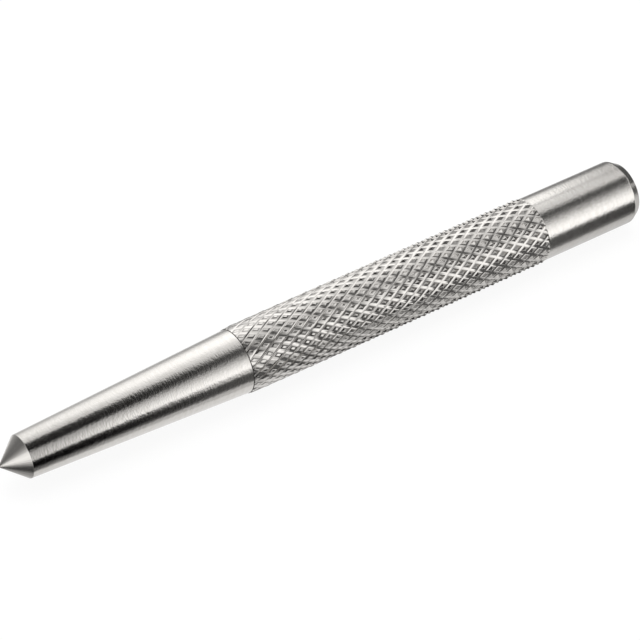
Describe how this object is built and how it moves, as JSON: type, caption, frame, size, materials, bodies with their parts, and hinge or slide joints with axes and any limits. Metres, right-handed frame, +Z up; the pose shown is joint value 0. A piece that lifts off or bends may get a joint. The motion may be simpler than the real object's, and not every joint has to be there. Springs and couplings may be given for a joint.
{
  "type": "center punch",
  "caption": "Solid steel center punch with a ground conical point, a plain taper, a diamond-knurled grip and a chamfered striking head.",
  "frame": {"origin": "on the ground, below the middle of the punch's length", "axes": "+X along the bar from the point to the striking head, +Z up; the punch lies on the crests of its knurl"},
  "size_m": [0.109, 0.0104, 0.0104],
  "materials": {
    "ground_steel": "bright satin, finely ground round the bar, with a rolled diamond knurl"
  },
  "bodies": {
    "root": {"punch_body": "ground_steel"}
  },
  "joints": []
}
